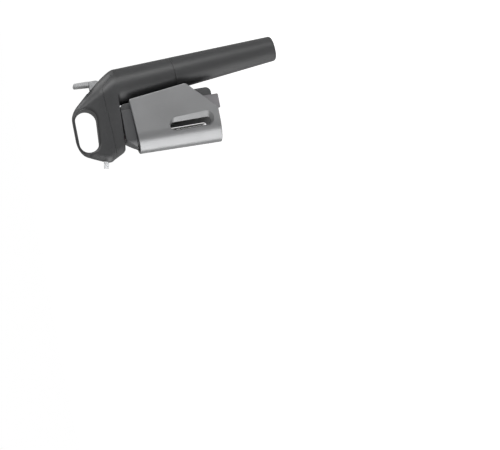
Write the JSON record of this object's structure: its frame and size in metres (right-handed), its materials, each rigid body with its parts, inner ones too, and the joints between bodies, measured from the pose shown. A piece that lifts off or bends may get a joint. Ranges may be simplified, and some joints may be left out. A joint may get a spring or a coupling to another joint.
{
  "type": "wine preservation dispenser",
  "caption": "Hand-held dispenser clamped on a neck: looped head with needle and spout, gas capsule handle, thumb trigger, hinged spring jaws and a neck rest.",
  "frame": {"origin": "centre of the neck's lip, on the underside of the rubber ring that rests on it", "axes": "+Z along the needle, away from the neck; the handle hangs at +X and the spout points to -X; +Y completes the right-handed frame, and XZ is the plane of symmetry"},
  "size_m": [0.107, 0.0422, 0.2207],
  "materials": {
    "body_matte": "soft matte moulded plastic, charcoal",
    "clamp_dark": "matte moulded plastic, dark grey",
    "clamp_grey": "satin moulded plastic, mid grey",
    "rest_grey": "matte moulded plastic, grey",
    "trigger_grey": "satin moulded plastic, light grey",
    "clear_tube": "clear to milky plastic",
    "rubber_black": "matte black rubber",
    "seal_red": "red silicone rubber",
    "steel": "bright steel",
    "brass": "machined brass",
    "capsule_steel": "plain steel capsule"
  },
  "bodies": {
    "clamp": {"carriage": "clamp_dark", "neck_rest": "rest_grey", "neck_rest_pad": "rubber_black", "neck_rest_screw_upper": "steel", "neck_rest_screw_lower": "steel", "jaw_pin_left": "steel", "jaw_pin_right": "steel", "needle_guide": "steel", "lip_bumper": "rubber_black", "mast_stop_pin": "steel", "jaw_spring_left": "steel", "jaw_spring_right": "steel"},
    "head": {"body_shell": "body_matte", "head_cover": "body_matte", "spout": "clear_tube", "guide_mast": "steel", "mast_screw_left": "steel", "mast_screw_right": "steel", "cover_screw_left": "steel", "cover_screw_right": "steel", "needle_hub": "steel", "needle": "steel", "needle_seal": "seal_red", "pour_tube": "clear_tube", "gas_tube": "steel", "trigger_pin": "steel", "valve_body": "brass", "valve_gasket": "rubber_black", "stem_seal": "seal_red", "valve_spring": "steel", "regulator_body": "brass", "piercing_pin": "steel", "capsule_seal": "seal_red", "regulator_piston": "brass", "regulator_spring": "steel"},
    "left_jaw": {"jaw_left": "clamp_grey", "jaw_pad_left": "rubber_black"},
    "right_jaw": {"jaw_right": "clamp_grey", "jaw_pad_right": "rubber_black"},
    "trigger_lever": {"trigger": "trigger_grey"},
    "stem": {"valve_stem": "steel"},
    "capsule": {"gas_capsule": "capsule_steel"},
    "cup": {"capsule_cup": "body_matte", "cup_pad": "rubber_black"}
  },
  "joints": [
    {"name": "head_slide", "type": "slide", "parent": "clamp", "child": "head", "axis": [0, 0, 1], "range_m": [0, 0.06]},
    {"name": "left_jaw_hinge", "type": "hinge", "parent": "clamp", "child": "left_jaw", "pos_m": [0.029, 0.0132, 0], "axis": [0, 0, -1], "range_deg": [0, 15], "stiffness_Nm_per_rad": 0.2, "springref_deg": -22.92, "deforming": ["jaw_spring_left"]},
    {"name": "right_jaw_hinge", "type": "hinge", "parent": "clamp", "child": "right_jaw", "pos_m": [0.029, -0.0132, 0], "axis": [0, 0, 1], "range_deg": [0, 15], "stiffness_Nm_per_rad": 0.2, "springref_deg": -22.92, "deforming": ["jaw_spring_right"]},
    {"name": "trigger_hinge", "type": "hinge", "parent": "head", "child": "trigger_lever", "pos_m": [0.0566, 0, 0.0384], "axis": [0, -1, 0], "range_deg": [0, 8]},
    {"name": "stem_slide", "type": "slide", "parent": "head", "child": "stem", "axis": [0.0797, 0, -0.9968], "range_m": [0, 0.00069], "stiffness_N_per_m": 3000, "springref_m": -0.003, "deforming": ["valve_spring"]},
    {"name": "capsule_slide", "type": "slide", "parent": "head", "child": "capsule", "axis": [0.0797, 0, -0.9968], "range_m": [0, 0.012]},
    {"name": "cup_turn", "type": "hinge", "parent": "capsule", "child": "cup", "pos_m": [0.0545, 0, 0], "axis": [0.0797, 0, -0.9968], "range_deg": [0, 1080]}
  ],
  "couplings": [
    {"joint": "trigger_hinge", "follows": "stem_slide", "rad_per_m": 200},
    {"joint": "cup_turn", "follows": "capsule_slide", "rad_per_m": 1570.8}
  ]
}
